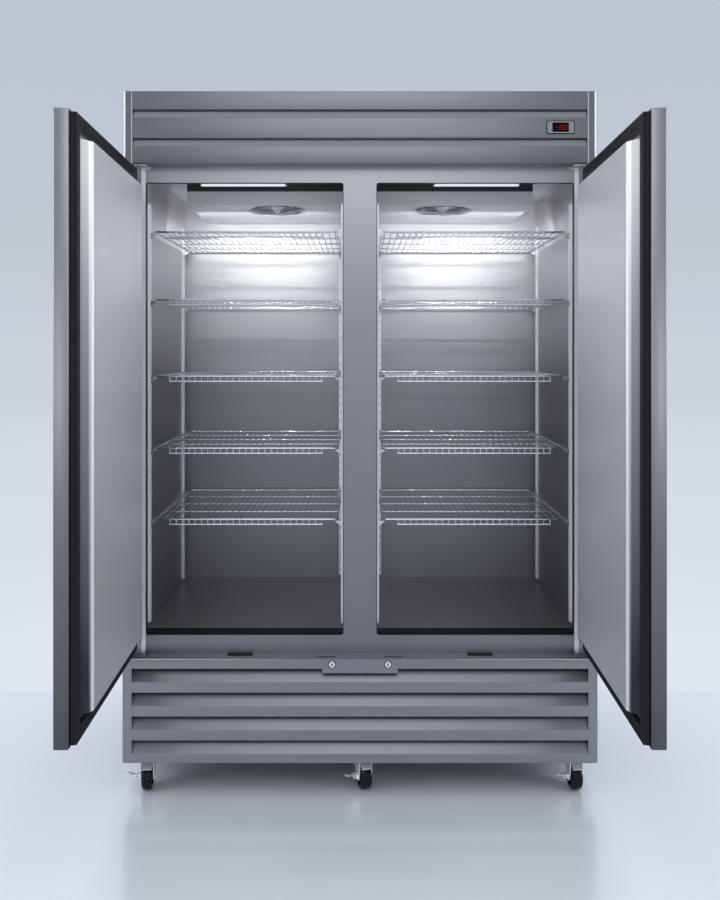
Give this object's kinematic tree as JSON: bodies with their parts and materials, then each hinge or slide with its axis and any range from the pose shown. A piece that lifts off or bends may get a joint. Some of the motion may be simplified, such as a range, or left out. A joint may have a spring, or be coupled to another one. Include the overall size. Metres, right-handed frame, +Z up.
{
  "type": "medical freezer",
  "caption": "Upright stainless freezer on casters with two solid swing doors stored open, wire shelves in both bays, louvred header with a temperature controller, and a locking lower grille.",
  "frame": {"origin": "on the floor under the middle of the whole object as stored, with both doors open 88 degrees", "axes": "+Z up, +X to the right of someone facing the doors, -Y towards that person"},
  "size_m": [1.3944, 1.4432, 2.041],
  "materials": {
    "outer_steel": "satin brushed stainless, dark grey",
    "header_steel": "satin brushed stainless, slightly bluish",
    "frame_steel": "fine satin stainless",
    "liner_steel": "bright satin stainless",
    "door_liner": "smooth satin stainless, light grey",
    "galvanised": "galvanised sheet",
    "base_steel": "dark grey paint",
    "foam": "rigid foam, not seen",
    "black_plastic": "black moulded plastic",
    "bezel_plastic": "silver-grey moulded plastic",
    "display": "glossy black window",
    "plated": "zinc and nickel plate",
    "white_plastic": "white nylon",
    "wire": "bright plated wire",
    "lamp": "white light strip",
    "fins": "bare aluminium fins",
    "fan_plastic": "black moulded plastic",
    "motor": "dark painted motor shell",
    "compressor_paint": "black paint, semi-gloss",
    "copper": "bare copper tube",
    "gasket": "black flexible seal",
    "wheel_rubber": "black tread, semi-gloss"
  },
  "bodies": {
    "cabinet": {"side_panel_left": "outer_steel", "side_panel_right": "outer_steel", "back_panel": "galvanised", "top_panel": "galvanised", "base_frame": "base_steel", "insulation": "foam", "inner_liner": "liner_steel", "face_frame": "frame_steel", "breaker_strips": "black_plastic", "header_panel": "header_steel", "controller_bezel": "bezel_plastic", "controller_display": "display", "grille_panel": "header_steel", "hinge_brackets": "plated", "hinge_bushes": "white_plastic", "shelf_standards": "liner_steel", "shelf_clips": "plated", "wire_shelves": "wire", "light_strips": "lamp", "evaporator_cover": "liner_steel", "evaporator_coil": "fins", "fan_motors": "motor", "condenser": "fins", "compressor": "compressor_paint", "refrigerant_lines": "copper", "condensate_tray": "black_plastic", "electrical_box": "galvanised", "power_inlet": "black_plastic", "caster_plates": "plated", "screws": "plated"},
    "door_left": {"door_skin_left": "outer_steel", "door_foam_left": "foam", "door_liner_left": "door_liner", "door_gasket_left": "gasket"},
    "door_right": {"door_skin_right": "outer_steel", "door_foam_right": "foam", "door_liner_right": "door_liner", "door_gasket_right": "gasket"},
    "lock_left": {"lock_left": "plated"},
    "lock_right": {"lock_right": "plated"},
    "key_strip_left": {"key_strip_left": "bezel_plastic"},
    "key_strip_right": {"key_strip_right": "bezel_plastic"},
    "evaporator_fan_left": {"evaporator_fan_left": "fan_plastic"},
    "evaporator_fan_right": {"evaporator_fan_right": "fan_plastic"},
    "condenser_fan": {"condenser_fan": "fan_plastic"},
    "caster_yoke_front_left": {"caster_yoke_front_left": "plated"},
    "caster_wheel_front_left": {"caster_wheel_front_left": "wheel_rubber"},
    "caster_yoke_front_middle": {"caster_yoke_front_middle": "plated"},
    "caster_wheel_front_middle": {"caster_wheel_front_middle": "wheel_rubber"},
    "caster_yoke_front_right": {"caster_yoke_front_right": "plated"},
    "caster_wheel_front_right": {"caster_wheel_front_right": "wheel_rubber"},
    "caster_yoke_rear_left": {"caster_yoke_rear_left": "plated"},
    "caster_wheel_rear_left": {"caster_wheel_rear_left": "wheel_rubber"},
    "caster_yoke_rear_middle": {"caster_yoke_rear_middle": "plated"},
    "caster_wheel_rear_middle": {"caster_wheel_rear_middle": "wheel_rubber"},
    "caster_yoke_rear_right": {"caster_yoke_rear_right": "plated"},
    "caster_wheel_rear_right": {"caster_wheel_rear_right": "wheel_rubber"},
    "brake_lever_left": {"brake_lever_left": "plated"},
    "brake_lever_middle": {"brake_lever_middle": "plated"},
    "brake_lever_right": {"brake_lever_right": "plated"}
  },
  "joints": [
    {"name": "door_left_hinge", "type": "hinge", "parent": "cabinet", "child": "door_left", "pos_m": [-0.677, -0.04641, 1.1205], "axis": [0, 0, -1], "range_deg": [-88, 32]},
    {"name": "door_right_hinge", "type": "hinge", "parent": "cabinet", "child": "door_right", "pos_m": [0.677, -0.04641, 1.1205], "axis": [0, 0, 1], "range_deg": [-88, 32]},
    {"name": "lock_left_turn", "type": "hinge", "parent": "cabinet", "child": "lock_left", "pos_m": [-0.0809, -0.06641, 0.3856], "axis": [0, 1, 0], "range_deg": [0, 90]},
    {"name": "lock_right_turn", "type": "hinge", "parent": "cabinet", "child": "lock_right", "pos_m": [0.0809, -0.06641, 0.3856], "axis": [0, -1, 0], "range_deg": [0, 90]},
    {"name": "key_strip_left_press", "type": "slide", "parent": "cabinet", "child": "key_strip_left", "axis": [0, 1, 0], "range_m": [0, 0.0006], "stiffness_N_per_m": 400},
    {"name": "key_strip_right_press", "type": "slide", "parent": "cabinet", "child": "key_strip_right", "axis": [0, 1, 0], "range_m": [0, 0.0006], "stiffness_N_per_m": 400},
    {"name": "evaporator_fan_left_spin", "type": "hinge", "parent": "cabinet", "child": "evaporator_fan_left", "pos_m": [-0.27, 0.29359, 1.7745], "axis": [0, 0, 1], "continuous": true},
    {"name": "evaporator_fan_right_spin", "type": "hinge", "parent": "cabinet", "child": "evaporator_fan_right", "pos_m": [0.27, 0.29359, 1.7745], "axis": [0, 0, 1], "continuous": true},
    {"name": "condenser_fan_spin", "type": "hinge", "parent": "cabinet", "child": "condenser_fan", "pos_m": [-0.35, 0.08859, 0.228], "axis": [0, 1, 0], "continuous": true},
    {"name": "caster_swivel_front_left", "type": "hinge", "parent": "cabinet", "child": "caster_yoke_front_left", "pos_m": [-0.628, 0.02759, 0.088], "axis": [0, 0, 1], "continuous": true},
    {"name": "caster_roll_front_left", "type": "hinge", "parent": "caster_yoke_front_left", "child": "caster_wheel_front_left", "pos_m": [-0.62549, -0.00832, 0.038], "axis": [0.9976, 0.0698, 0], "continuous": true},
    {"name": "brake_left_press", "type": "hinge", "parent": "caster_yoke_front_left", "child": "brake_lever_left", "pos_m": [-0.65621, -0.01047, 0.042], "axis": [0.0698, -0.9976, 0], "range_deg": [0, 35]},
    {"name": "caster_swivel_front_middle", "type": "hinge", "parent": "cabinet", "child": "caster_yoke_front_middle", "pos_m": [0, 0.02759, 0.088], "axis": [0, 0, 1], "continuous": true},
    {"name": "caster_roll_front_middle", "type": "hinge", "parent": "caster_yoke_front_middle", "child": "caster_wheel_front_middle", "pos_m": [0.01112, -0.00665, 0.038], "axis": [0.9511, 0.309, 0], "continuous": true},
    {"name": "brake_middle_press", "type": "hinge", "parent": "caster_yoke_front_middle", "child": "brake_lever_middle", "pos_m": [-0.01817, -0.01616, 0.042], "axis": [0.309, -0.9511, 0], "range_deg": [0, 35]},
    {"name": "caster_swivel_front_right", "type": "hinge", "parent": "cabinet", "child": "caster_yoke_front_right", "pos_m": [0.628, 0.02759, 0.088], "axis": [0, 0, 1], "continuous": true},
    {"name": "caster_roll_front_right", "type": "hinge", "parent": "caster_yoke_front_right", "child": "caster_wheel_front_right", "pos_m": [0.63239, -0.00814, 0.038], "axis": [0.9925, 0.1219, 0], "continuous": true},
    {"name": "brake_right_press", "type": "hinge", "parent": "caster_yoke_front_right", "child": "brake_lever_right", "pos_m": [0.60182, -0.01189, 0.042], "axis": [0.1219, -0.9925, 0], "range_deg": [0, 35]},
    {"name": "caster_swivel_rear_left", "type": "hinge", "parent": "cabinet", "child": "caster_yoke_rear_left", "pos_m": [-0.628, 0.62759, 0.088], "axis": [0, 0, 1], "continuous": true},
    {"name": "caster_roll_rear_left", "type": "hinge", "parent": "caster_yoke_rear_left", "child": "caster_wheel_rear_left", "pos_m": [-0.61929, 0.59266, 0.038], "axis": [0.9703, 0.2419, 0], "continuous": true},
    {"name": "caster_swivel_rear_middle", "type": "hinge", "parent": "cabinet", "child": "caster_yoke_rear_middle", "pos_m": [0, 0.62759, 0.088], "axis": [0, 0, 1], "continuous": true},
    {"name": "caster_roll_rear_middle", "type": "hinge", "parent": "caster_yoke_rear_middle", "child": "caster_wheel_rear_middle", "pos_m": [0.01521, 0.59496, 0.038], "axis": [0.9063, 0.4226, 0], "continuous": true},
    {"name": "caster_swivel_rear_right", "type": "hinge", "parent": "cabinet", "child": "caster_yoke_rear_right", "pos_m": [0.628, 0.62759, 0.088], "axis": [0, 0, 1], "continuous": true},
    {"name": "caster_roll_rear_right", "type": "hinge", "parent": "caster_yoke_rear_right", "child": "caster_wheel_rear_right", "pos_m": [0.63487, 0.59225, 0.038], "axis": [0.9816, 0.1908, 0], "continuous": true}
  ]
}
